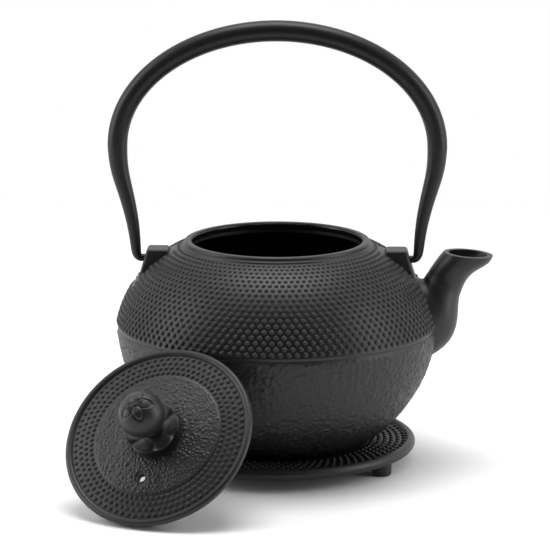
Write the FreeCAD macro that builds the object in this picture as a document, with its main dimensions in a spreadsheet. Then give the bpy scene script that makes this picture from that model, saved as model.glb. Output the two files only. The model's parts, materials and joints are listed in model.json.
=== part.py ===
# A cast iron teapot with its lid off: the pot stands on a round trivet, its bail stands
# upright, and the lid leans on the pot's waist at the front left.
# Frame: +Z up, origin on the table under the pot's axis, spout towards +X, lengths in mm.
import FreeCAD, Part
import Sketcher
import math
import os

Vector = FreeCAD.Vector
Rotation = FreeCAD.Rotation
Placement = FreeCAD.Placement

# The driving dimensions. Radii are from the axis of the piece, heights from the table for the
# pot, bail and trivet, and from the lid's seat for the lid's own pieces.
DIMENSIONS = {
    # pot: a hollow casting with a sharp waist
    "waist_radius": 82.5,
    "waist_height": 72.0,
    "shoulder_mid_radius": 73.0,
    "shoulder_mid_height": 94.0,
    "neck_radius": 49.3,
    "neck_height": 112.6,
    "lip_radius": 45.9,
    "mouth_radius": 44.4,
    "mouth_height": 115.5,
    "belly_top_radius": 82.2,
    "belly_top_height": 70.6,
    "belly_mid_radius": 77.0,
    "belly_mid_height": 47.8,
    "belly_foot_radius": 48.0,
    "belly_foot_height": 12.5,
    "foot_ring_radius": 44.5,
    "foot_ring_width": 3.0,
    "foot_ring_drop": 1.5,
    "pot_wall": 3.6,
    # the two lugs that carry the bail
    "lug_top_height": 111.0,
    "lug_bottom_height": 92.0,
    "lug_top_inner": 56.5,
    "lug_top_outer": 66.8,
    "lug_bottom_inner": 45.0,
    "lug_bottom_outer": 72.6,
    "lug_top_width": 13.6,
    "lug_bottom_width": 19.0,
    "lug_rounding": 1.6,
    "pivot_height": 105.5,
    "pivot_hole_radius": 1.95,
    "pivot_hole_depth_to": 61.5,
    # spout
    "spout_wall": 2.6,
    # bail: a rolled tube, thick over the top and thin where it hooks into the lugs
    "bail_half_width": 81.8,
    "bail_spring_height": 164.0,
    "bail_rise": 59.4,
    "bail_top_radius": 5.4,
    "bail_side_radius": 5.1,
    "bail_bend_radius": 2.6,
    "bail_pin_radius": 1.9,
    "bail_pin_inner": 62.0,
    "bail_pin_outer": 69.4,
    "bail_leg_low": 72.8,
    "bail_bend_rise": 4.6,
    "bail_sheet": 0.9,
    "bail_seam": 0.6,
    # lid, in its own frame
    "lid_rim_radius": 48.5,
    "lid_rim_roll": 1.7,
    "lid_skirt_radius": 43.9,
    "lid_skirt_wall": 3.0,
    "lid_skirt_depth": 6.0,
    "lid_crown_height": 5.8,
    "lid_plate": 2.6,
    "lid_pad_radius": 7.5,
    "steam_hole_radius": 2.0,
    "steam_hole_at": 24.0,
    # knob, collar and the screw that holds them
    "screw_radius": 2.0,
    "screw_clearance": 0.05,
    "screw_head_radius": 5.0,
    "screw_head": 1.8,
    "screw_reach": 15.0,
    "collar_radius": 14.0,
    "collar_lift": 3.8,
    "collar_sheet": 1.3,
    "collar_foot_radius": 6.5,
    "collar_petals": 6,
    "collar_gap_radius": 3.0,
    "knob_radius": 11.3,
    "knob_centre": 24.6,
    "knob_neck_radius": 5.2,
    "knob_rise": 10.9,
    "knob_flat_radius": 3.6,
    # how the lid leans
    "lid_bearing": 27.9,
    "lid_heading": 23.2,
    "lid_tilt": 41.6,
    "lid_reach": 115.75,
    # trivet
    "trivet_radius": 71.9,
    "trivet_underside": 6.8,
    "trivet_rim_top": 12.2,
    "trivet_field": 10.2,
    "trivet_recess_radius": 45.2,
    "trivet_recess": 9.5,
    "leg_circle": 64.2,
    "leg_first_angle": -32.0,
    "leg_count": 3,
    "leg_radius": 5.2,
    "leg_end": 3.4,
    "plug_radius": 2.0,
    "plug_height": 7.2,
    "plug_hole_top": 7.6,
}


def make_sheet(doc):
    """Puts the dimensions in the document's sheet, each value in a cell with a name."""
    sheet = doc.addObject("Spreadsheet::Sheet", "Sizes")
    for row, (name, value) in enumerate(DIMENSIONS.items(), start=1):
        sheet.set(f"A{row}", name)
        sheet.set(f"B{row}", str(value))
        sheet.setAlias(f"B{row}", name)
    doc.recompute()
    return sheet


class Size:
    """A length that carries its number together with the sheet expression it comes from."""

    def __init__(self, number, text):
        self.number = number
        self.text = text

    def __add__(self, other):
        other = as_size(other)
        return Size(self.number + other.number, f"({self.text} + {other.text})")

    def __sub__(self, other):
        other = as_size(other)
        return Size(self.number - other.number, f"({self.text} - {other.text})")

    def __mul__(self, factor):
        return Size(self.number * factor, f"({self.text} * {factor})")


def as_size(value):
    return value if isinstance(value, Size) else Size(float(value), str(float(value)))


def size(name):
    """The named dimension, as a Size bound to its cell."""
    return Size(float(SHEET.get(name)), f"Sizes.{name}")


def mm(name):
    """The named dimension as a plain number."""
    return float(SHEET.get(name))


# ---------------------------------------------------------------- sketches and features


def origin_plane(body, role):
    return next(f for f in body.Origin.OriginFeatures if f.Role == role)


def new_body(label):
    body = DOC.addObject("PartDesign::Body", label)
    body.Label = label
    return body


def new_sketch(body, name, role, offset=None):
    """A sketch on one of the body's origin planes, moved along the plane's normal by offset."""
    sketch = body.newObject("Sketcher::SketchObject", name)
    sketch.AttachmentSupport = [(origin_plane(body, role), "")]
    sketch.MapMode = "FlatFace"
    if offset is not None:
        sketch.setExpression("AttachmentOffset.Base.z", offset.text)
    return sketch


def fix_coordinate(sketch, kind, index, end, value):
    """Ties one coordinate of a sketch point to the sheet. A zero coordinate lies on the axis."""
    value = as_size(value)
    if abs(value.number) < 1e-9:
        axis = -2 if kind == "DistanceX" else -1
        sketch.addConstraint(Sketcher.Constraint("PointOnObject", index, end, axis))
        return
    forward = value.number > 0
    ends = (-1, 1, index, end) if forward else (index, end, -1, 1)
    row = sketch.addConstraint(Sketcher.Constraint(kind, *ends, abs(value.number)))
    text = value.text if forward else f"-1 * {value.text}"
    sketch.setExpression(f"Constraints[{row}]", text)


def fix_point(sketch, index, end, point):
    fix_coordinate(sketch, "DistanceX", index, end, point[0])
    fix_coordinate(sketch, "DistanceY", index, end, point[1])


def flat(point):
    """A sketch point's plain position."""
    return Vector(as_size(point[0]).number, as_size(point[1]).number, 0)


def draw_outline(sketch, start, steps):
    """A closed outline. Each step is (end,) for a straight edge or (via, end) for an arc."""
    here = start
    first = None
    for step in steps:
        end = step[-1]
        if len(step) == 1:
            edge = sketch.addGeometry(Part.LineSegment(flat(here), flat(end)), False)
            tail, head = 1, 2
        else:
            arc, forward = anticlockwise_arc(flat(here), flat(step[0]), flat(end))
            edge = sketch.addGeometry(arc, False)
            tail, head = (1, 2) if forward else (2, 1)
            guide = sketch.addGeometry(Part.Point(flat(step[0])), True)
            sketch.addConstraint(Sketcher.Constraint("PointOnObject", guide, 1, edge))
            fix_point(sketch, guide, 1, step[0])
        if first is None:
            first = (edge, tail)
        else:
            sketch.addConstraint(Sketcher.Constraint("Coincident", *before, edge, tail))
        before = (edge, head)
        if step is not steps[-1]:
            fix_point(sketch, edge, head, end)
        here = end
    sketch.addConstraint(Sketcher.Constraint("Coincident", *before, *first))
    fix_point(sketch, *first, start)


def anticlockwise_arc(start, via, end):
    """The arc as a sketch holds it, always anticlockwise, and whether start comes first in it."""
    circle = Part.Arc(start, via, end).toShape().Curve
    forward = (via - start).cross(end - via).z > 0
    first, last = (start, end) if forward else (end, start)
    rays = [point - circle.Center for point in (first, last)]
    turns = [math.atan2(ray.y, ray.x) for ray in rays]
    if turns[1] < turns[0]:
        turns[1] += 2 * math.pi
    plain = Part.Circle(circle.Center, Vector(0, 0, 1), circle.Radius)
    return Part.ArcOfCircle(plain, *turns), forward


def revolve(body, name, start, steps):
    """A solid turned about the body's own axis, from an outline of (radius, height) points."""
    sketch = new_sketch(body, f"{name}_outline", "XZ_Plane")
    draw_outline(sketch, start, steps)
    turned = body.newObject("PartDesign::Revolution", name)
    turned.Profile = sketch
    turned.ReferenceAxis = (sketch, ["V_Axis"])
    turned.Angle = 360
    body.Tip = turned
    return turned


def draw_circle(sketch, x, y, radius):
    spot = Vector(as_size(x).number, as_size(y).number, 0)
    ring = sketch.addGeometry(Part.Circle(spot, Vector(0, 0, 1), radius.number), False)
    fix_point(sketch, ring, 3, (x, y))
    row = sketch.addConstraint(Sketcher.Constraint("Radius", ring, radius.number))
    sketch.setExpression(f"Constraints[{row}]", radius.text)


def pull(body, kind, name, sketch, length, upwards):
    """A Pad or Pocket of the sketch, up or down from its plane."""
    feature = body.newObject(f"PartDesign::{kind}", name)
    feature.Profile = sketch
    feature.setExpression("Length", length.text)
    feature.Reversed = upwards if kind == "Pocket" else not upwards
    body.Tip = feature
    return feature


def around(body, name, features, count):
    """Repeats features around the body's axis."""
    pattern = body.newObject("PartDesign::PolarPattern", name)
    pattern.Originals = features
    pattern.Axis = (origin_plane(body, "Z_Axis"), [""])
    pattern.Angle = 360
    pattern.setExpression("Occurrences", count.text)
    body.Tip = pattern
    return pattern


# ---------------------------------------------------------------- trivet


def trivet_plate():
    """A round plate with a raised rim, a shallow recess for the pot's foot and stub legs."""
    body = new_body("trivet_plate")
    under = size("trivet_underside")
    rim = size("trivet_radius")
    top = size("trivet_rim_top")
    field = size("trivet_field")
    recess = size("trivet_recess")
    rim_mid = (under + top) * 0.5
    steps = [
        ((rim - 1.6, under),),
        ((rim, rim_mid), (rim - 1.5, top - 0.4)),
        ((rim - 2.6, top), (rim - 3.7, top - 0.4)),
        ((rim - 4.6, field),),
        ((size("trivet_recess_radius") + 0.8, field),),
        ((size("trivet_recess_radius"), recess),),
        ((0, recess),),
        ((0, under),),
    ]
    revolve(body, "plate", (0, under), steps)
    angle = math.radians(mm("leg_first_angle"))
    x = size("leg_circle") * math.cos(angle)
    y = size("leg_circle") * math.sin(angle)
    leg = new_sketch(body, "leg_ring", "XY_Plane", size("leg_end"))
    draw_circle(leg, x, y, size("leg_radius"))
    into_plate = under - size("leg_end") + 0.5
    first_leg = pull(body, "Pad", "first_leg", leg, into_plate, True)
    around(body, "legs", [first_leg], size("leg_count"))
    socket = new_sketch(body, "plug_ring", "XY_Plane", size("leg_end"))
    draw_circle(socket, x, y, size("plug_radius") + 0.05)
    depth = size("plug_hole_top") - size("leg_end")
    first_hole = pull(body, "Pocket", "first_plug_hole", socket, depth, True)
    around(body, "plug_holes", [first_hole], size("leg_count"))


def rubber_foot(number):
    """A rubber pad whose stem plugs into a leg of the trivet."""
    body = new_body(f"rubber_foot_{number}")
    pad = size("leg_radius")
    end = size("leg_end")
    stem = size("plug_radius")
    steps = [
        ((pad - 1.4, 0),),
        ((pad - 0.5, 0.35), (pad - 0.2, 1.3)),
        ((pad, end),),
        ((stem, end),),
        ((stem, size("plug_height")),),
        ((0, size("plug_height")),),
        ((0, 0),),
    ]
    revolve(body, "pad", (0, 0), steps)
    turn = 360 / mm("leg_count") * (number - 1)
    angle = math.radians(mm("leg_first_angle") + turn)
    spot = Vector(mm("leg_circle") * math.cos(angle), mm("leg_circle") * math.sin(angle), 0)
    body.Placement = Placement(spot, Rotation())


# ---------------------------------------------------------------- pot

SPOUT_BEND = 4  # the section at which the spout turns from its root towards its tip


def spot(radius, height):
    """A point of an outline that is turned about the pot's axis."""
    return Vector(radius, 0, height)


def inset_arc(points, depth):
    """The three points of an arc moved towards the arc's centre by depth."""
    centre = Part.Arc(*points).toShape().Curve.Center
    return [p + (centre - p).normalize() * depth for p in points]


def turned_solid(edges):
    """The solid that a closed outline in the XZ plane sweeps about the Z axis."""
    face = Part.Face(Part.Wire(Part.__sortEdges__([edge.toShape() for edge in edges])))
    return face.revolve(Vector(0, 0, 0), Vector(0, 0, 1), 360)


def chain(points):
    """Straight edges through the points."""
    return [Part.LineSegment(a, b) for a, b in zip(points, points[1:])]


def belly_arc():
    return [
        spot(mm("belly_foot_radius"), mm("belly_foot_height")),
        spot(mm("belly_mid_radius"), mm("belly_mid_height")),
        spot(mm("belly_top_radius"), mm("belly_top_height")),
    ]


def shoulder_arc():
    return [
        spot(mm("waist_radius"), mm("waist_height")),
        spot(mm("shoulder_mid_radius"), mm("shoulder_mid_height")),
        spot(mm("neck_radius"), mm("neck_height")),
    ]


def pot_outside():
    """The pot's outer form, filled in: foot ring, belly, waist edge, shoulder and neck."""
    belly = belly_arc()
    shoulder = shoulder_arc()
    seat = mm("trivet_recess")
    ring = mm("foot_ring_radius")
    hollow = seat + mm("foot_ring_drop")
    inner_ring = ring - mm("foot_ring_width")
    neck = mm("neck_radius")
    lip = mm("lip_radius")
    top = mm("mouth_height")
    base = [spot(0, hollow), spot(inner_ring, hollow), spot(inner_ring, seat), spot(ring, seat)]
    band = [
        shoulder[2],
        spot(neck - 0.4, mm("neck_height") + 0.8),
        spot(lip + 0.5, top - 0.9),
        spot(lip, top),
        spot(0, top),
        spot(0, hollow),
    ]
    edges = chain(base + [belly[0]])
    edges.append(Part.Arc(*belly))
    edges += chain([belly[2], shoulder[0]])
    edges.append(Part.Arc(*shoulder))
    edges += chain(band)
    return turned_solid(edges)


def pot_cavity():
    """The space inside the pot, out through the mouth."""
    wall = mm("pot_wall")
    belly = inset_arc(belly_arc(), wall)
    shoulder = inset_arc(shoulder_arc(), wall)
    mouth = mm("mouth_radius")
    above = mm("mouth_height") + 5
    edges = chain([spot(0, above), spot(0, belly[0].z), belly[0]])
    edges.append(Part.Arc(*belly))
    edges += chain([belly[2], shoulder[0]])
    edges.append(Part.Arc(*shoulder))
    edges += chain([shoulder[2], spot(mouth, shoulder[2].z + 1), spot(mouth, above), spot(0, above)])
    return turned_solid(edges)


def oval(low, high, across):
    """An elliptical wire that spans from low to high in the XZ plane and across in Y."""
    middle = (low + high) * 0.5
    along = (high - low) * 0.5
    ellipse = Part.Ellipse(middle + along, middle + Vector(0, across, 0), middle)
    return Part.Wire(ellipse.toShape())


def spout_sections():
    """Where the spout's ovals lie: underside point, upper point and half width, root to tip."""
    return [
        (Vector(76.0, 0, 53.0), Vector(70.0, 0, 97.0), 16.0),
        (Vector(85.2, 0, 58.7), Vector(73.0, 0, 95.5), 15.0),
        (Vector(91.0, 0, 66.0), Vector(75.0, 0, 95.2), 13.5),
        (Vector(93.4, 0, 77.0), Vector(76.2, 0, 96.4), 11.8),
        (Vector(94.3, 0, 87.0), Vector(77.8, 0, 98.8), 10.0),
        (Vector(97.4, 0, 94.6), Vector(79.6, 0, 101.8), 9.4),
        (Vector(102.4, 0, 99.8), Vector(81.8, 0, 105.0), 10.2),
        (Vector(107.8, 0, 103.2), Vector(83.8, 0, 107.7), 11.0),
        (Vector(111.0, 0, 107.8), Vector(85.6, 0, 109.8), 11.6),
    ]


def two_lofts(sections):
    """A bent horn through the sections: one loft for the root and one for the tip."""
    ovals = [oval(*section) for section in sections]
    root = Part.makeLoft(ovals[: SPOUT_BEND + 1], True, False)
    tip = Part.makeLoft(ovals[SPOUT_BEND:], True, False)
    return root.fuse(tip)


def spout_channel():
    """The way from the cavity to the spout's mouth, one spout wall inside the spout."""
    wall = mm("spout_wall")
    sections = [
        (Vector(60, 0, 62), Vector(60, 0, 86), 9.5),
        (Vector(72, 0, 63), Vector(70, 0, 87), 10.0),
    ]
    for low, high, across in spout_sections()[2:]:
        inward = (high - low).normalize() * wall
        sections.append((low + inward, high - inward, across - wall))
    low, high, across = sections[-1]
    past_mouth = Vector(0.6, 0, 4.0)
    sections.append((low + past_mouth, high + past_mouth, across))
    return two_lofts(sections)


def lug_block(side):
    """One lug: a tapered block that stands out of the shoulder, towards +X or -X."""

    def corners(height, inner, outer, width):
        half = width / 2
        ring = [(inner, -half), (outer, -half), (outer, half), (inner, half), (inner, -half)]
        return Part.makePolygon([Vector(side * x, side * y, height) for x, y in ring])

    low = corners(
        mm("lug_bottom_height"), mm("lug_bottom_inner"), mm("lug_bottom_outer"), mm("lug_bottom_width")
    )
    high = corners(
        mm("lug_top_height"), mm("lug_top_inner"), mm("lug_top_outer"), mm("lug_top_width")
    )
    block = Part.makeLoft([low, high], True, True)
    above_base = [e for e in block.Edges if e.BoundBox.ZMax > mm("lug_bottom_height") + 1]
    return block.makeFillet(mm("lug_rounding"), above_base)


def pivot_hole(side):
    """The blind hole in the lug's outer face that takes the bail's pin."""
    start = Vector(side * mm("pivot_hole_depth_to"), 0, mm("pivot_height"))
    return Part.makeCylinder(mm("pivot_hole_radius"), 20, start, Vector(side, 0, 0))


def pot_body():
    """The pot as one casting: shell, spout and two lugs."""
    casting = pot_outside().fuse([two_lofts(spout_sections()), lug_block(1), lug_block(-1)])
    casting = casting.cut([pot_cavity(), spout_channel(), pivot_hole(1), pivot_hole(-1)])
    return casting.removeSplitter()


# ---------------------------------------------------------------- bail

RIGHTWARDS = Vector(1, 0, 0)
UPWARDS = Vector(0, 0, 1)


def curve_through(points, leaving, arriving):
    """A smooth curve through the points with the given directions at its ends."""
    curve = Part.BSplineCurve()
    curve.interpolate(points, InitialTangent=leaving, FinalTangent=arriving)
    return curve


def bail_runs():
    """The right half of the bail, run by run: curve, first radius, last radius, hollow or not."""
    pivot = mm("pivot_height")
    pin = mm("bail_pin_radius")
    bend = mm("bail_bend_radius")
    side = mm("bail_side_radius")
    low = mm("bail_leg_low")
    wide = mm("bail_half_width")
    spring = mm("bail_spring_height")
    pin_end = Vector(mm("bail_pin_outer"), 0, pivot)
    leg_foot = Vector(low, 0, pivot + mm("bail_bend_rise"))
    leg_top = Vector(wide, 0, spring)
    steep = Vector(0.08, 0, 1)
    leg_mid = [Vector(low + 1.6, 0, 124), Vector(wide - 3.6, 0, 141)]
    arch = Part.Ellipse(leg_top, Vector(0, 0, spring + mm("bail_rise")), Vector(0, 0, spring))
    straight = Part.LineSegment(Vector(mm("bail_pin_inner"), 0, pivot), pin_end)
    return [
        (straight, pin, pin, False),
        (curve_through([pin_end, leg_foot], RIGHTWARDS, steep), pin, bend, False),
        (curve_through([leg_foot] + leg_mid + [leg_top], steep, UPWARDS), bend, side, True),
        (Part.ArcOfEllipse(arch, 0, math.pi / 2), side, mm("bail_top_radius"), True),
    ]


def ring(curve, parameter, radius):
    """A circular wire across the curve at the given parameter."""
    along = curve.tangent(parameter)[0]
    return Part.Wire(Part.Circle(curve.value(parameter), along, radius).toShape())


def swept_tube(curve, first_radius, last_radius):
    """A rod along the curve whose radius changes evenly from one end to the other."""
    sweep = Part.BRepOffsetAPI.MakePipeShell(Part.Wire(curve.toShape()))
    sweep.add(ring(curve, curve.FirstParameter, first_radius))
    if abs(last_radius - first_radius) > 1e-6:
        sweep.add(ring(curve, curve.LastParameter, last_radius))
    sweep.build()
    sweep.makeSolid()
    return sweep.shape()


def both_sides(shapes):
    """The right-hand shapes and their mirror images as one solid."""
    mirrored = [s.mirror(Vector(0, 0, 0), RIGHTWARDS) for s in shapes]
    return shapes[0].fuse(shapes[1:] + mirrored).removeSplitter()


def bail_seam():
    """The open seam of the rolled sheet, a thin slot on the side that faces the pot."""
    curves = [run[0] for run in bail_runs() if run[3]]
    right = [curve.toShape() for curve in curves]
    left = [edge.mirror(Vector(0, 0, 0), RIGHTWARDS) for edge in right]
    foot = curves[0].value(curves[0].FirstParameter)
    closing = Part.LineSegment(foot, Vector(-foot.x, 0, foot.z)).toShape()
    face = Part.Face(Part.Wire(Part.__sortEdges__(right + left + [closing])))
    half = mm("bail_seam") / 2
    face.translate(Vector(0, -half, 0))
    return face.extrude(Vector(0, 2 * half, 0))


def bail_tube():
    """A rolled sheet tube with an open inner seam and two solid hooked ends."""
    runs = bail_runs()
    sheet = mm("bail_sheet")
    outside = both_sides([swept_tube(c, a, b) for c, a, b, hollow in runs])
    inside = both_sides([swept_tube(c, a - sheet, b - sheet) for c, a, b, hollow in runs if hollow])
    return outside.cut(inside).cut(bail_seam())


# ---------------------------------------------------------------- lid


def lid_placement():
    """The lid stands on its skirt, leans back on the pot and turns its face to the front left."""
    tilt = math.radians(mm("lid_tilt"))
    bearing = math.radians(mm("lid_bearing"))
    height = mm("lid_skirt_radius") * math.cos(tilt) + mm("lid_skirt_depth") * math.sin(tilt)
    reach = mm("lid_reach")
    place = Vector(-reach * math.sin(bearing), -reach * math.cos(bearing), height)
    turn = Rotation(Vector(0, 0, 1), -mm("lid_heading"))
    lean = Rotation(Vector(1, 0, 0), 90 - mm("lid_tilt"))
    return Placement(place, turn.multiply(lean))


def lid_plate():
    """A low crowned plate with a rolled rim and a skirt that drops into the mouth."""
    body = new_body("lid_plate")
    rim = size("lid_rim_radius")
    roll = size("lid_rim_roll")
    crown = size("lid_crown_height")
    pad = size("lid_pad_radius")
    skirt = size("lid_skirt_radius")
    bore = size("screw_radius") + size("screw_clearance")
    under = crown - size("lid_plate")
    inside = skirt - size("lid_skirt_wall")
    depth = size("lid_skirt_depth") * -1
    steps = [
        ((pad, crown),),
        ((26.0, crown - 1.3), (rim - 3.8, 2.3)),
        ((rim - 3.1, 3.1), (rim - roll, roll * 2)),
        ((rim, roll), (rim - roll, 0)),
        ((skirt, 0),),
        ((skirt, depth),),
        ((inside, depth),),
        ((inside, -1.2),),
        ((24.0, under - 1.6), (pad, under)),
        ((bore, under),),
        ((bore, crown),),
    ]
    revolve(body, "disc", (bore, crown), steps)
    hole = new_sketch(body, "steam_ring", "XY_Plane", size("lid_crown_height") + 2)
    draw_circle(hole, 0, size("steam_hole_at") * -1, size("steam_hole_radius"))
    pull(body, "Pocket", "steam_hole", hole, size("lid_crown_height") + 6, False)
    body.Placement = lid_placement()


def knob_collar():
    """A shallow cup of petals between the lid and the knob."""
    body = new_body("knob_collar")
    seat = size("lid_crown_height")
    outer = size("collar_radius")
    foot = size("collar_foot_radius")
    sheet = size("collar_sheet")
    bore = size("screw_radius") + size("screw_clearance")
    edge = seat + size("collar_lift")
    steps = [
        ((foot, seat),),
        ((outer - 2.6, seat + 1.2), (outer, edge)),
        ((outer - 1.0, edge + 0.6),),
        ((outer - 3.5, seat + 2.4), (foot - 0.3, seat + sheet)),
        ((bore, seat + sheet),),
        ((bore, seat),),
    ]
    revolve(body, "cup", (bore, seat), steps)
    gap = new_sketch(body, "petal_gap_ring", "XY_Plane", seat - 1)
    draw_circle(gap, outer + 1.2, 0, size("collar_gap_radius"))
    cut = pull(body, "Pocket", "first_petal_gap", gap, size("collar_lift") + 4, True)
    around(body, "petal_gaps", [cut], size("collar_petals"))
    body.Placement = lid_placement()


def lid_knob():
    """A round bud on a short neck, with a small flat at its top where the flower sits."""
    body = new_body("lid_knob")
    seat = size("lid_crown_height") + size("collar_sheet")
    neck = size("knob_neck_radius")
    bud = size("knob_radius")
    centre = size("knob_centre")
    bore = size("screw_radius") + size("screw_clearance")
    bore_end = size("screw_reach") + 0.4
    top = centre + size("knob_rise")
    steps = [
        ((neck, seat),),
        ((neck - 0.9, seat + 3.6), (neck + 0.2, centre - 9.3)),
        ((bud, centre), (size("knob_flat_radius"), top)),
        ((0, top),),
        ((0, bore_end),),
        ((bore, bore_end),),
        ((bore, seat),),
    ]
    revolve(body, "bud", (bore, seat), steps)
    body.Placement = lid_placement()


def knob_screw():
    """The screw under the lid that passes through plate and collar into the knob."""
    body = new_body("knob_screw")
    under = size("lid_crown_height") - size("lid_plate")
    head = size("screw_head_radius")
    low = under - size("screw_head")
    shank = size("screw_radius")
    steps = [
        ((head - 1.6, low),),
        ((head - 0.4, low + 0.5), (head, under),),
        ((shank, under),),
        ((shank, size("screw_reach")),),
        ((0, size("screw_reach")),),
        ((0, low),),
    ]
    revolve(body, "screw", (0, low), steps)
    body.Placement = lid_placement()


# ---------------------------------------------------------------- the whole model


def add_shape(label, shape):
    """A sub-part whose shape comes from Part's own functions."""
    feature = DOC.addObject("Part::Feature", label)
    feature.Label = label
    feature.Shape = shape
    feature.Placement = Placement()


def check_document():
    """Stops the run if any object failed or any sub-part has no valid shape."""
    for item in DOC.Objects:
        bad = [state for state in item.State if state in ("Invalid", "Error")]
        if bad:
            raise RuntimeError(f"{item.Label} is {bad}")
    for item in sub_parts():
        if item.Shape.isNull() or not item.Shape.isValid():
            raise RuntimeError(f"{item.Label} has no valid shape")


def sub_parts():
    return [o for o in DOC.Objects if o.TypeId in ("PartDesign::Body", "Part::Feature")]


def export():
    os.makedirs("parts", exist_ok=True)
    for item in sub_parts():
        item.Shape.exportStep(f"parts/{item.Label}.step")
        volume = item.Shape.Volume / 1000
        print(f"{item.Label}: {len(item.Shape.Solids)} solid, {volume:.2f} cubic cm")


DOC = FreeCAD.newDocument("teapot")
SHEET = make_sheet(DOC)
trivet_plate()
for foot_number in range(1, int(mm("leg_count")) + 1):
    rubber_foot(foot_number)
add_shape("pot_body", pot_body())
add_shape("bail_tube", bail_tube())
lid_plate()
knob_collar()
lid_knob()
knob_screw()
DOC.recompute()
check_document()
export()
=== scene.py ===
# A black cast iron teapot on its trivet, with its lid leaning on the waist at the front left.
# The frame's solids stay visible, except the lid's knob and collar, which finer ones replace.
# This script adds the cast surface: hobnails, leathery skins, the rounded lip, the enamel lining,
# the engraved knob, the petals of the collar, and the finishes.
import bpy
import itertools
import json
import math
import numpy as np
from mathutils import Matrix, Vector
from mathutils.bvhtree import BVHTree


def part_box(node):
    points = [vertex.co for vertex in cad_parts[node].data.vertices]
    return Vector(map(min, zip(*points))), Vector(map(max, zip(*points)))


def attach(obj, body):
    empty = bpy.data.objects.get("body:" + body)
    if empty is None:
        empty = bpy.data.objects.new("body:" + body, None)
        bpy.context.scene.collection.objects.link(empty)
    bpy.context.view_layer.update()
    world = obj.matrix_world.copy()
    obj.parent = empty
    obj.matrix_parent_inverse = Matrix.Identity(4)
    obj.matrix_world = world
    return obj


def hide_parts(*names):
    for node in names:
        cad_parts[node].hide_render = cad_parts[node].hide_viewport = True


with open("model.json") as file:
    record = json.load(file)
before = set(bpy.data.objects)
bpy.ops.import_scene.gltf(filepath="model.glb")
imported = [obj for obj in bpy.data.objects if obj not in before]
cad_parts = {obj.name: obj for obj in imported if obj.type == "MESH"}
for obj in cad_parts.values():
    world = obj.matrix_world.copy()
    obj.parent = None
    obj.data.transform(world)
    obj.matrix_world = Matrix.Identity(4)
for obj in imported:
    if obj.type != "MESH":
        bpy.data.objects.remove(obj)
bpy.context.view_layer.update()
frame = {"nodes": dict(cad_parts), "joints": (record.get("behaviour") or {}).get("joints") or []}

# Lengths below are in millimetres, and every mesh is scaled to metres when it is made.
MM = 0.001
NOISE = np.random.default_rng(11).random((64, 64, 64, 4))

# Profiles of the pot as (radius, height) above the table: three points of each arc.
WAIST_RADIUS = -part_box("pot_body")[0].x / MM
SHOULDER = [(WAIST_RADIUS, 72.0), (73.0, 94.0), (49.3, 112.6)]
BELLY = [(82.2, 70.6), (77.0, 47.8), (48.0, 12.5)]
POT_WALL = 3.6
MOUTH_RADIUS = 44.4
MOUTH_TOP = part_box("pot_body")[1].z / MM
PIVOT_HEIGHT = 105.5
BAIL_BACK = math.radians(-120.0)  # the bail's angle when it is swung right back
BAIL_CLEARANCE = 0.15  # kept between the swung-back bail and the nails under it

# The belly's leathery skin.
BELLY_LUMP = 2.7
BELLY_RELIEF = 1.0
SKIN_LIFT = 0.04  # keeps the skin just clear of the solid under it
SKIN_BACK = -0.5  # the skin's back face, hidden inside the solid

# Hobnails on the shoulder.
NAIL_ROWS = 19
NAILS_A_ROW = 124
NAIL_SHARE = 0.30  # a nail's radius as a share of the spacing between nails
NAIL_HEIGHT_SHARE = 0.24
FIRST_ROW_GAP = 1.9  # along the arc, from the waist to the first row
LAST_ROW_GAP = 1.6  # along the arc, from the last row to the neck

# The lid in its own frame: heights are above its rim.
LID_CROWN = [(7.5, 5.8), (26.0, 4.5), (44.7, 2.3)]
LID_SKIRT_DEPTH = 6.0
LID_RINGS = [43.2, 40.3, 37.4, 34.5]
LID_NAILS_A_RING = 78
LID_NAIL_RADIUS = 1.02
LID_NAIL_HEIGHT = 0.85
LID_FIELD = (12.5, 33.0)  # inner and outer radius
LID_LUMP = 1.9
LID_RELIEF = 0.60
LID_SKIN_LIFT = 0.03
STEAM_HOLE_AT = (0.0, -24.0)
STEAM_HOLE_OPEN = 2.7  # the skin is left out within this distance of the steam hole's centre
STEAM_HOLE_SLOPE = (2.6, 3.4)  # and dives into the plate between these two
KNOB_SEAT = 7.1
KNOB_CENTRE = 24.6
KNOB_NECK = [(5.2, 7.1), (4.3, 10.7), (5.4, 15.3)]
KNOB_BUD = [(5.4, 15.3), (11.3, 24.6), (3.6, 35.5)]
CREST_RISE = 0.32  # of the knob's tip above its flat
FLOWER_DEPTH = 0.5
FLOWER_PETALS = 5
COLLAR_PETALS = 6
COLLAR_RADIUS = 14.0
COLLAR_SEAT = 5.8
COLLAR_INNER = 2.2
COLLAR_FLOOR = 1.3  # above the collar's seat
COLLAR_CLIMB = 3.9
PETAL_CREASE = 0.8
PETAL_ROLL = 0.45
COLLAR_THICKNESS = 1.25

# The trivet.
TRIVET_FIELD = 10.2
TRIVET_RINGS = [66.0, 62.8, 59.6, 56.4, 53.2, 50.0]
TRIVET_NAILS_A_RING = 84
TRIVET_NAIL_RADIUS = 1.15
TRIVET_NAIL_HEIGHT = 0.9


# ---------------------------------------------------------------- noise


def lattice(cell, channel):
    """Random values from 0 to 1 fixed to whole-number cells."""
    wrapped = cell % len(NOISE)
    return NOISE[wrapped[..., 0], wrapped[..., 1], wrapped[..., 2], channel]


def soft_noise(points, channel=0):
    """Smooth random values from 0 to 1 over (n, 3) points, one cell to a unit."""
    cell = np.floor(points).astype(int)
    part = points - cell
    ease = part * part * (3 - 2 * part)
    total = np.zeros(len(points))
    for corner in itertools.product((0, 1), repeat=3):
        weight = np.prod(np.where(np.array(corner) == 1, ease, 1 - ease), axis=1)
        total += weight * lattice(cell + corner, channel)
    return total


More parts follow.
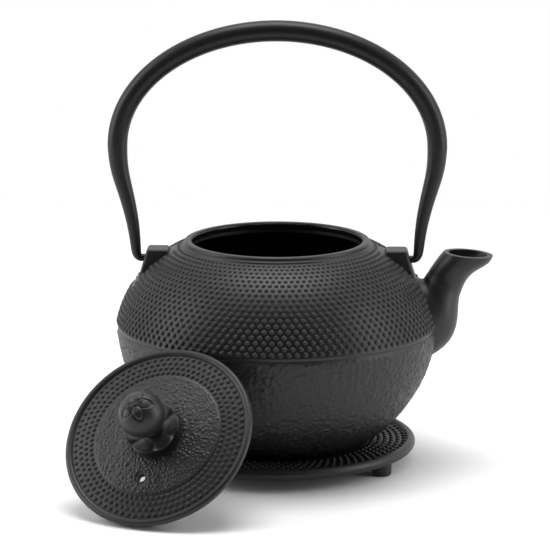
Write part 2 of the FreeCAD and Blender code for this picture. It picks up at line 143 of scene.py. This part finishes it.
def pebbles(points):
    """Rounded lumps from 0 in the creases to 1, one lump to about a unit."""
    cell = np.floor(points).astype(int)
    nearest = np.full(len(points), 9.0)
    second = np.full(len(points), 9.0)
    for step in itertools.product((-1, 0, 1), repeat=3):
        there = cell + step
        seed = np.stack([lattice(there, c) for c in (1, 2, 3)], axis=1)
        gap = np.linalg.norm(there + seed - points, axis=1)
        second = np.minimum(second, np.maximum(nearest, gap))
        nearest = np.minimum(nearest, gap)
    return np.clip((second - nearest) * 1.6, 0, 1)


def leather(points, size):
    """The wrinkled relief of cast skin, 0 to 1, with lumps about size across."""
    bend = np.stack([soft_noise(points / (2.2 * size), c) for c in (0, 1, 2)], axis=1)
    warped = points / size + 1.3 * bend
    coarse = soft_noise(points / (3.1 * size), 3)
    return 0.55 * pebbles(warped) ** 0.7 + 0.25 * soft_noise(points / (0.6 * size)) + 0.2 * coarse


# ---------------------------------------------------------------- profiles and meshes


def circle_through(points):
    """Centre and radius of the circle through three (radius, height) points."""
    (ax, ay), (bx, by), (cx, cy) = points
    left = np.array([[bx - ax, by - ay], [cx - bx, cy - by]])
    right = 0.5 * np.array([bx**2 - ax**2 + by**2 - ay**2, cx**2 - bx**2 + cy**2 - by**2])
    centre = np.linalg.solve(left, right)
    return centre, float(np.hypot(ax - centre[0], ay - centre[1]))


def arc_points(points, count, outward=0.0):
    """Evenly spaced points along the arc, first to last, moved outward from its centre."""
    centre, radius = circle_through(points)
    first, _, last = np.unwrap([math.atan2(y - centre[1], x - centre[0]) for x, y in points])
    angles = np.linspace(first, last, count)
    rays = np.stack([np.cos(angles), np.sin(angles)], axis=1)
    return centre + rays * (radius + outward), rays


def spin(profile, columns):
    """Turns (n, 2) profile points about the Z axis into an (n, columns, 3) grid."""
    turns = np.linspace(0, 2 * math.pi, columns, endpoint=False)
    grid = np.empty((len(profile), columns, 3))
    grid[..., 0] = profile[:, :1] * np.cos(turns)
    grid[..., 1] = profile[:, :1] * np.sin(turns)
    grid[..., 2] = profile[:, 1:]
    return grid


def grid_faces(rows, columns, wrap_rows=False, wrap_columns=True):
    """Quads over a grid of points numbered row by row."""
    i = np.arange(rows if wrap_rows else rows - 1)[:, None]
    j = np.arange(columns if wrap_columns else columns - 1)[None, :]
    down = (i + 1) % rows
    along = (j + 1) % columns
    quads = [i * columns + j, i * columns + along, down * columns + along, down * columns + j]
    return np.stack(np.broadcast_arrays(*quads), axis=-1).reshape(-1, 4)


def rounded(points, steps):
    """A closed outline through the points, eased by a Catmull-Rom curve."""
    before, after = np.roll(points, 1, axis=0), np.roll(points, -1, axis=0)
    beyond = np.roll(points, -2, axis=0)
    part = (np.arange(steps) / steps)[None, :, None]
    a, b, c, d = (p[:, None] for p in (before, points, after, beyond))
    curve = b + 0.5 * part * (c - a) + part**2 * (a - 2.5 * b + 2 * c - 0.5 * d)
    curve = curve + part**3 * (1.5 * b - 0.5 * a - 1.5 * c + 0.5 * d)
    return curve.reshape(-1, 2)


def smoothstep(value, low, high):
    share = np.clip((value - low) / (high - low), 0, 1)
    return share * share * (3 - 2 * share)


def add_piece(name, points, faces, body, material):
    """A smooth-shaded mesh object from points in millimetres, riding on a body."""
    mesh = bpy.data.meshes.new(name)
    points = np.asarray(points, float).reshape(-1, 3) * MM
    mesh.from_pydata(points.tolist(), [], [list(map(int, f)) for f in faces])
    mesh.update()
    mesh.shade_smooth()
    piece = bpy.data.objects.new(name, mesh)
    bpy.context.scene.collection.objects.link(piece)
    mesh.materials.append(material)
    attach(piece, body)
    return piece


def thicken(piece, thickness):
    """Gives a surface a back, thickness millimetres behind its front."""
    solid = piece.modifiers.new("thickness", "SOLIDIFY")
    solid.thickness = thickness * MM
    solid.offset = -1


NAIL_SIDES = 10
NAIL_PROFILE = [(1.3, -0.12), (0.98, 0.40), (0.58, 0.85)]


def nails(name, centres, outward, radii, heights, body, material):
    """Rounded studs at the centres, each standing along its own outward direction."""
    turns = np.linspace(0, 2 * math.pi, NAIL_SIDES, endpoint=False)
    local = [(r * math.cos(t), r * math.sin(t), z) for r, z in NAIL_PROFILE for t in turns]
    local += [(0, 0, 1.0), (0, 0, NAIL_PROFILE[0][1])]
    local = np.array(local)
    across = np.cross(outward, (0.0, 0.3, 1.0))
    across /= np.linalg.norm(across, axis=1, keepdims=True)
    other = np.cross(outward, across)
    wide = local[None, :, :1] * across[:, None] + local[None, :, 1:2] * other[:, None]
    points = centres[:, None] + wide * radii[:, None, None]
    points = points + local[None, :, 2:] * outward[:, None] * heights[:, None, None]
    sides = grid_faces(len(NAIL_PROFILE), NAIL_SIDES)[:, ::-1].tolist()
    last = (len(NAIL_PROFILE) - 1) * NAIL_SIDES
    top = len(NAIL_PROFILE) * NAIL_SIDES
    step = [(j, (j + 1) % NAIL_SIDES) for j in range(NAIL_SIDES)]
    sides += [[last + a, last + b, top][::-1] for a, b in step]
    sides += [[a, b, top + 1] for a, b in step]
    faces = [[v + n * len(local) for v in face] for n in range(len(centres)) for face in sides]
    return add_piece(name, points, faces, body, material)


# ---------------------------------------------------------------- finishes


def finish(name, colour, second, patch, roughness, grain, grain_depth, specular=0.5, metal=0.0):
    """A procedural finish: two mottled colours, uneven gloss and a fine grain.

    patch and grain are sizes in metres, and roughness is the (lowest, highest) value.
    """
    material = bpy.data.materials.new(name)
    material.use_nodes = True
    nodes = material.node_tree.nodes
    links = material.node_tree.links
    shader = nodes["Principled BSDF"]
    place = nodes.new("ShaderNodeTexCoord")
    mottle = nodes.new("ShaderNodeTexNoise")
    mottle.inputs["Scale"].default_value = 1 / patch
    mottle.inputs["Detail"].default_value = 5
    mix = nodes.new("ShaderNodeMix")
    mix.data_type = "RGBA"
    mix.inputs["A"].default_value = (*colour, 1)
    mix.inputs["B"].default_value = (*second, 1)
    gloss = nodes.new("ShaderNodeMapRange")
    gloss.inputs["From Min"].default_value = 0.3
    gloss.inputs["From Max"].default_value = 0.7
    gloss.inputs["To Min"].default_value = roughness[0]
    gloss.inputs["To Max"].default_value = roughness[1]
    fine = nodes.new("ShaderNodeTexNoise")
    fine.inputs["Scale"].default_value = 1 / grain
    fine.inputs["Detail"].default_value = 4
    bump = nodes.new("ShaderNodeBump")
    bump.inputs["Distance"].default_value = grain_depth
    bump.inputs["Strength"].default_value = 0.8
    links.new(place.outputs["Object"], mottle.inputs["Vector"])
    links.new(place.outputs["Object"], fine.inputs["Vector"])
    links.new(mottle.outputs["Fac"], mix.inputs["Factor"])
    links.new(mix.outputs["Result"], shader.inputs["Base Color"])
    links.new(fine.outputs["Fac"], gloss.inputs["Value"])
    links.new(gloss.outputs["Result"], shader.inputs["Roughness"])
    links.new(fine.outputs["Fac"], bump.inputs["Height"])
    links.new(bump.outputs["Normal"], shader.inputs["Normal"])
    shader.inputs["Specular IOR Level"].default_value = specular
    shader.inputs["Metallic"].default_value = metal
    return material


IRON = finish(
    "cast_iron_enamel", (0.0095, 0.0085, 0.0092), (0.016, 0.0138, 0.0145), 0.02,
    (0.36, 0.50), 0.0008, 0.00012, specular=0.4,
)
SMOOTH_IRON = finish(
    "cast_iron_smooth", (0.0095, 0.0085, 0.0092), (0.0145, 0.0125, 0.013), 0.02,
    (0.38, 0.48), 0.0009, 0.00006, specular=0.4,
)
BAIL_PAINT = finish(
    "bail_satin_black", (0.007, 0.0062, 0.0066), (0.0105, 0.009, 0.0095), 0.03,
    (0.36, 0.44), 0.0012, 0.00005, specular=0.32,
)
LINING = finish(
    "enamel_lining", (0.0045, 0.0045, 0.0048), (0.007, 0.007, 0.0075), 0.015,
    (0.12, 0.24), 0.002, 0.00006,
)
RUBBER = finish(
    "foot_rubber", (0.018, 0.018, 0.018), (0.026, 0.026, 0.026), 0.004,
    (0.70, 0.85), 0.0004, 0.00008,
)
STEEL = finish(
    "screw_steel", (0.42, 0.42, 0.43), (0.52, 0.52, 0.53), 0.004,
    (0.28, 0.40), 0.0003, 0.00003, metal=1.0,
)

CAD_FINISHES = {
    "pot_body": SMOOTH_IRON,
    "trivet_plate": SMOOTH_IRON,
    "lid_plate": SMOOTH_IRON,
    "lid_knob": SMOOTH_IRON,
    "knob_collar": SMOOTH_IRON,
    "bail_tube": BAIL_PAINT,
    "knob_screw": STEEL,
    "rubber_foot_1": RUBBER,
    "rubber_foot_2": RUBBER,
    "rubber_foot_3": RUBBER,
}


def dress_cad_nodes():
    """Gives every carried-over solid its finish."""
    for name, material in CAD_FINISHES.items():
        node = frame["nodes"][name]
        node.data.materials.clear()
        node.data.materials.append(material)


# ---------------------------------------------------------------- pot


def belly_skin():
    """The leathery cast skin from just under the waist down to the foot."""
    rows, columns, back_rows = 118, 700, 10
    front, rays = arc_points(BELLY, rows)
    back, _ = arc_points(BELLY, back_rows, outward=SKIN_BACK)
    grid = spin(front, columns)
    out = spin(rays, columns)
    fade = smoothstep(np.arange(rows), 0, 4) * smoothstep(rows - 1 - np.arange(rows), 0, 4)
    relief = leather(grid.reshape(-1, 3), BELLY_LUMP).reshape(rows, columns) * fade[:, None]
    grid = grid + out * (SKIN_LIFT + BELLY_RELIEF * relief)[..., None]
    whole = np.concatenate([grid, spin(back[::-1], columns)])
    faces = grid_faces(len(whole), columns, wrap_rows=True)[:, ::-1]
    add_piece("belly_skin", whole, faces, "pot", IRON)


# The patches kept free of nails round each lug and round the spout's root.
LUG_PATCH_BOTTOM = 92.0
LUG_PATCH_RISE = 20.4
LUG_PATCH_HALF_WIDTH = 9.5
LUG_PATCH_NARROWING = 2.7
LUG_PATCH_INNER = 45.0
LUG_PATCH_LEAN = 9.0
LUG_PATCH_MARGIN = 1.6
SPOUT_PATCH_HEIGHT = 72.0
SPOUT_PATCH_REACH = (15.5, 26.0)  # across, and up and down


def near_lug(x, y, z):
    """True where a nail would stand in a lug or in its root."""
    rise = np.clip((z - LUG_PATCH_BOTTOM) / LUG_PATCH_RISE, 0, 1)
    half_width = LUG_PATCH_HALF_WIDTH - LUG_PATCH_NARROWING * rise
    inner = LUG_PATCH_INNER + LUG_PATCH_LEAN * rise
    within = np.abs(y) < half_width + LUG_PATCH_MARGIN
    return (z > LUG_PATCH_BOTTOM) & within & (np.abs(x) > inner - LUG_PATCH_MARGIN)


def near_spout(x, y, z):
    """True where a nail would stand in the spout's root."""
    across, tall = SPOUT_PATCH_REACH
    return (x > 0) & ((y / across) ** 2 + ((z - SPOUT_PATCH_HEIGHT) / tall) ** 2 < 1)


def room_under_bail(spots):
    """The distance from each spot to the bail when it is swung right back."""
    mesh = frame["nodes"]["bail_tube"].data
    pivot = Vector((0, 0, PIVOT_HEIGHT * MM))
    swing = Matrix.Rotation(BAIL_BACK, 3, "X")
    points = [swing @ (v.co - pivot) + pivot for v in mesh.vertices]
    tree = BVHTree.FromPolygons(points, [tuple(p.vertices) for p in mesh.polygons])
    return np.array([tree.find_nearest(Vector(spot) * MM)[3] for spot in spots]) / MM


def shoulder_hobnails():
    """Staggered rows of nails from the waist to the neck, smaller towards the neck."""
    centre, radius = circle_through(SHOULDER)
    start = math.atan2(SHOULDER[0][1] - centre[1], SHOULDER[0][0] - centre[0])
    stop = math.atan2(SHOULDER[2][1] - centre[1], SHOULDER[2][0] - centre[0])
    first, last = start + FIRST_ROW_GAP / radius, stop - LAST_ROW_GAP / radius
    angles = np.linspace(first, last, NAIL_ROWS)
    spots, outward, radii, heights = [], [], [], []
    for row, angle in enumerate(angles):
        ring = centre[0] + radius * math.cos(angle)
        height = centre[1] + radius * math.sin(angle)
        spacing = 2 * math.pi * ring / NAILS_A_ROW
        for n in range(NAILS_A_ROW):
            turn = 2 * math.pi * (n + 0.5 * (row % 2)) / NAILS_A_ROW
            spots.append((ring * math.cos(turn), ring * math.sin(turn), height))
            level = math.cos(angle)
            outward.append((level * math.cos(turn), level * math.sin(turn), math.sin(angle)))
            radii.append(NAIL_SHARE * spacing)
            heights.append(NAIL_HEIGHT_SHARE * spacing)
    spots, outward = np.array(spots), np.array(outward)
    radii = np.array(radii)
    heights = np.minimum(heights, room_under_bail(spots) - BAIL_CLEARANCE)
    keep = ~near_lug(*spots.T) & ~near_spout(*spots.T)
    nails(
        "shoulder_hobnails", spots[keep], outward[keep], radii[keep], heights[keep],
        "pot", IRON,
    )


def neck_lip():
    """The upright band above the shoulder and the rounded lip of the mouth."""
    outside = [(49.1, 112.2), (48.6, 112.75), (48.0, 113.1), (47.8, 113.7), (47.75, 114.7)]
    bead = [(47.5, 115.3), (47.0, 115.6), (46.3, 115.7), (45.4, 115.65), (44.8, 115.35)]
    inside = [(44.5, 114.8), (44.5, 113.6), (46.0, 112.6), (47.6, 112.0)]
    outline = rounded(np.array(outside + bead + inside), 4)
    faces = grid_faces(len(outline), 360, wrap_rows=True)
    add_piece("neck_lip", spin(outline, 360), faces, "pot", SMOOTH_IRON)


def enamel_lining():
    """The glossy black enamel on the inside of the pot, open at the spout."""
    belly, _ = arc_points(BELLY, 40, outward=-POT_WALL - 0.2)
    shoulder, _ = arc_points(SHOULDER[::-1], 40, outward=-POT_WALL - 0.2)
    neck = [(MOUTH_RADIUS - 0.2, MOUTH_TOP - drop) for drop in (0.5, 1.2, 2.2, 3.2)]
    floor = belly[-1][1] + 0.2
    base = [(r, floor) for r in (40.0, 30.0, 18.0, 6.0, 0.4, 0.05)]
    profile = np.concatenate([neck, shoulder, belly[:-1], base])
    columns = 192
    points = spin(profile, columns).reshape(-1, 3)
    faces = grid_faces(len(profile), columns)
    middle = points[faces].mean(axis=1)
    at_spout = (middle[:, 1] / 11.5) ** 2 + ((middle[:, 2] - 74.5) / 14.5) ** 2 < 1
    faces = faces[~(at_spout & (middle[:, 0] > 0))]
    piece = add_piece("enamel_lining", points, faces, "pot", LINING)
    thicken(piece, -0.1)


# ---------------------------------------------------------------- lid


class LidFrame:
    """The leaning lid's own axes: z along its axis, y up its face, x level."""

    def __init__(self):
        lift = next(j for j in frame["joints"] if j["name"] == "lid_lift")
        self.z = np.array(Vector(lift["axis"]).normalized())
        self.x = np.array(Vector((-self.z[1], self.z[0], 0)).normalized())
        self.y = np.cross(self.z, self.x)
        screw = [v.co for v in frame["nodes"]["knob_screw"].data.vertices]
        plate = [v.co for v in frame["nodes"]["lid_plate"].data.vertices]
        on_axis = np.mean(np.array(screw), axis=0) / MM
        lowest = float((np.array(plate) @ self.z).min()) / MM
        self.origin = on_axis + self.z * (lowest + LID_SKIRT_DEPTH - on_axis @ self.z)

    def place(self, points):
        """Points in the lid's frame, moved into the row's frame."""
        points = np.asarray(points, float)
        return self.origin + points @ np.stack([self.x, self.y, self.z])

    def turn(self, directions):
        return np.asarray(directions, float) @ np.stack([self.x, self.y, self.z])


LID = LidFrame()


def crown_height(radius):
    """The height of the lid's crowned face at a distance from its axis, and its slope."""
    centre, bend = circle_through(LID_CROWN)
    rise = np.sqrt(bend**2 - (radius - centre[0]) ** 2)
    return centre[1] + rise, -(radius - centre[0]) / rise


def lid_hobnails():
    """Four staggered rings of nails inside the lid's rim."""
    spots, outward = [], []
    for row, ring in enumerate(LID_RINGS):
        height, slope = crown_height(ring)
        for n in range(LID_NAILS_A_RING):
            turn = 2 * math.pi * (n + 0.5 * (row % 2)) / LID_NAILS_A_RING
            spots.append((ring * math.cos(turn), ring * math.sin(turn), height))
            outward.append((-slope * math.cos(turn), -slope * math.sin(turn), 1))
    outward = np.array(outward)
    outward /= np.linalg.norm(outward, axis=1, keepdims=True)
    radii = np.full(len(spots), LID_NAIL_RADIUS)
    heights = np.full(len(spots), LID_NAIL_HEIGHT)
    nails(
        "lid_hobnails", LID.place(spots), LID.turn(outward), radii, heights,
        "lid", IRON,
    )


def lid_field_skin():
    """The wrinkled field between the collar and the nails, open round the steam hole."""
    rings, columns = 84, 420
    inner, outer = LID_FIELD
    radii = np.linspace(inner, outer, rings)
    heights, _ = crown_height(radii)
    grid = spin(np.stack([radii, heights], axis=1), columns)
    away = np.hypot(grid[..., 0] - STEAM_HOLE_AT[0], grid[..., 1] - STEAM_HOLE_AT[1])
    fade = smoothstep(radii, inner, inner + 2.5) * smoothstep(-radii, -outer, -outer + 1.5)
    relief = leather(grid.reshape(-1, 3), LID_LUMP).reshape(rings, columns) * fade[:, None]
    grid[..., 2] += LID_SKIN_LIFT + LID_RELIEF * relief
    grid[..., 2] -= 0.9 * (1 - smoothstep(away, *STEAM_HOLE_SLOPE))
    points = grid.reshape(-1, 3)
    faces = grid_faces(rings, columns)
    middle = points[faces].mean(axis=1)
    gap = np.hypot(middle[:, 0] - STEAM_HOLE_AT[0], middle[:, 1] - STEAM_HOLE_AT[1])
    faces = faces[gap > STEAM_HOLE_OPEN]
    piece = add_piece("lid_field_skin", LID.place(points), faces, "lid", IRON)
    thicken(piece, 0.2)


def groove(distance, width):
    """A soft groove: 1 on its line, falling off over its width."""
    return np.exp(-((distance / width) ** 2))


def flower(radius, turn):
    """The depth, 0 to 1, of the flower engraved round the knob's tip."""
    petal = 2 * math.pi / FLOWER_PETALS
    off_centre = (turn + petal / 2) % petal - petal / 2
    edge = 4.3 + 3.9 * np.cos(off_centre * 2.1) ** 2
    outline = groove(radius - edge, 0.5)
    inner = smoothstep(radius, 1.5, 2.2) * smoothstep(-radius, -edge, -edge + 0.8)
    between = groove((np.abs(off_centre) - petal / 2) * radius, 0.75) * inner
    vein = groove(off_centre * radius, 0.24) * inner * smoothstep(-radius, -4.6, -3.6)
    side = groove((np.abs(off_centre) - petal / 5) * radius, 0.22) * inner
    side = side * smoothstep(-radius, -5.2, -4.2)
    centre = groove(radius - 1.5, 0.3)
    return np.max([outline, between, 0.7 * vein, 0.6 * side, centre], axis=0)


def knob_bud():
    """The round knob on its short neck, with the flower engraved round its tip."""
    neck, _ = arc_points(KNOB_NECK, 12)
    bud, _ = arc_points(KNOB_BUD, 120)
    flat, top = KNOB_BUD[2]
    steps = np.linspace(3.4, 0.12, 26)
    crest = [(r, top + CREST_RISE * (1 - (r / flat) ** 2)) for r in steps]
    base = [(2.2, KNOB_SEAT + 0.02), (4.0, KNOB_SEAT + 0.02)]
    profile = np.concatenate([base, neck, bud[1:], crest])
    columns = 240
    grid = spin(profile, columns)
    radius = np.repeat(profile[:, :1], columns, axis=1)
    turn = np.arctan2(grid[..., 0], grid[..., 1])
    depth = flower(radius, turn) * (profile[:, 1:] > KNOB_CENTRE + 5)
    slope = np.arctan2(grid[..., 2] - KNOB_CENTRE, radius)[..., None]
    out = np.concatenate([grid[..., :2] / radius[..., None] * np.cos(slope), np.sin(slope)], axis=2)
    grid = grid - out * FLOWER_DEPTH * depth[..., None]
    rows = len(profile)
    faces = grid_faces(rows, columns).tolist()
    faces.append([(rows - 1) * columns + c for c in range(columns)])
    faces.append([c for c in reversed(range(columns))])
    piece = add_piece("knob_bud", LID.place(grid), faces, "lid", SMOOTH_IRON)
    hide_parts("lid_knob")


def petal_collar():
    """The shallow cup of rounded petals that the knob stands in."""
    rings, columns = 40, 480
    turn = np.linspace(0, 2 * math.pi, columns, endpoint=False)
    lobe = np.abs(np.cos(COLLAR_PETALS / 2 * (turn - 0.35)))
    reach = COLLAR_RADIUS * (0.80 + 0.20 * np.sqrt(lobe))
    share = np.linspace(0, 1, rings)[:, None]
    radius = COLLAR_INNER + (reach - COLLAR_INNER) * share
    climb = smoothstep(radius, 5.5, 15.5)
    crease = groove((1 - lobe) - 1, 0.35) * smoothstep(radius, 6.0, 13.0)
    height = COLLAR_SEAT + COLLAR_FLOOR + COLLAR_CLIMB * climb - PETAL_CREASE * crease
    roll = PETAL_ROLL * smoothstep(share, 0.93, 1.0)
    grid = np.stack([radius * np.cos(turn), radius * np.sin(turn), height - roll], axis=-1)
    faces = grid_faces(rings, columns)
    piece = add_piece("petal_collar", LID.place(grid), faces, "lid", SMOOTH_IRON)
    thicken(piece, COLLAR_THICKNESS)
    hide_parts("knob_collar")


# ---------------------------------------------------------------- trivet


def trivet_hobnails():
    """Rings of nails on the trivet's field, inside its raised rim."""
    spots = []
    for row, ring in enumerate(TRIVET_RINGS):
        for n in range(TRIVET_NAILS_A_RING):
            turn = 2 * math.pi * (n + 0.5 * (row % 2)) / TRIVET_NAILS_A_RING
            spots.append((ring * math.cos(turn), ring * math.sin(turn), TRIVET_FIELD))
    radii = np.full(len(spots), TRIVET_NAIL_RADIUS)
    heights = np.full(len(spots), TRIVET_NAIL_HEIGHT)
    outward = np.tile((0.0, 0.0, 1.0), (len(spots), 1))
    nails(
        "trivet_hobnails", np.array(spots), outward, radii, heights,
        "trivet", IRON,
    )


# ---------------------------------------------------------------- stage


def softbox(name, place, aim, size, power):
    """A square area light facing its aim, lengths in metres."""
    light = bpy.data.lights.new(name, "AREA")
    light.shape = "RECTANGLE"
    light.size, light.size_y = size
    light.energy = power
    lamp = bpy.data.objects.new(name, light)
    bpy.context.scene.collection.objects.link(lamp)
    lamp.location = place
    lamp.rotation_mode = "QUATERNION"
    lamp.rotation_quaternion = (Vector(aim) - Vector(place)).to_track_quat("-Z", "Y")


def studio():
    """A pale floor, a white room that is darker on the camera's side, and three softboxes."""
    half = 0.7
    mesh = bpy.data.meshes.new("floor")
    corners = [(-half, -half, 0), (half, -half, 0), (half, half, 0), (-half, half, 0)]
    mesh.from_pydata(corners, [], [(0, 1, 2, 3)])
    floor = bpy.data.objects.new("floor", mesh)
    bpy.context.scene.collection.objects.link(floor)
    pale = bpy.data.materials.new("pale_floor")
    pale.use_nodes = True
    shader = pale.node_tree.nodes["Principled BSDF"]
    shader.inputs["Base Color"].default_value = (0.9, 0.9, 0.9, 1)
    shader.inputs["Roughness"].default_value = 0.9
    mesh.materials.append(pale)
    world = bpy.data.worlds.new("white_room")
    bpy.context.scene.world = world
    world.use_nodes = True
    nodes = world.node_tree.nodes
    links = world.node_tree.links
    place = nodes.new("ShaderNodeTexCoord")
    split = nodes.new("ShaderNodeSeparateXYZ")
    ramp = nodes.new("ShaderNodeMapRange")
    ramp.inputs["From Min"].default_value = -0.55
    ramp.inputs["From Max"].default_value = 0.3
    ramp.inputs["To Min"].default_value = 0.03
    ramp.inputs["To Max"].default_value = 1.0
    links.new(place.outputs["Generated"], split.inputs["Vector"])
    links.new(split.outputs["Y"], ramp.inputs["Value"])
    links.new(ramp.outputs["Result"], nodes["Background"].inputs["Strength"])
    nodes["Background"].inputs["Color"].default_value = (1, 1, 1, 1)
    middle = (0, 0, 0.09)
    softbox("left_box", (-0.95, -0.15, 0.45), middle, (0.5, 1.0), 6)
    softbox("right_box", (1.0, -0.25, 0.40), middle, (0.5, 1.0), 6)
    softbox("top_box", (0.0, 0.05, 1.2), middle, (0.8, 0.6), 10)


CAMERA_AIM = Vector((-0.0011, 0, 0.0967))
CAMERA_DISTANCE = 1.6
CAMERA_YAW = math.radians(-1.87)
CAMERA_ELEVATION = math.radians(12.24)
CAMERA_LENS = 203.0


def camera():
    """The view from the front, slightly above and a touch to the right."""
    data = bpy.data.cameras.new("camera")
    data.lens = CAMERA_LENS
    eye = bpy.data.objects.new("camera", data)
    bpy.context.scene.collection.objects.link(eye)
    level = math.cos(CAMERA_ELEVATION)
    forward = Vector(
        (math.sin(CAMERA_YAW) * level, math.cos(CAMERA_YAW) * level, -math.sin(CAMERA_ELEVATION))
    )
    eye.location = CAMERA_AIM - forward * CAMERA_DISTANCE
    eye.rotation_mode = "QUATERNION"
    eye.rotation_quaternion = forward.to_track_quat("-Z", "Y")
    bpy.context.scene.camera = eye


dress_cad_nodes()
belly_skin()
shoulder_hobnails()
neck_lip()
enamel_lining()
lid_hobnails()
lid_field_skin()
knob_bud()
petal_collar()
trivet_hobnails()
studio()
camera()
bpy.context.scene.view_settings.view_transform = "Standard"
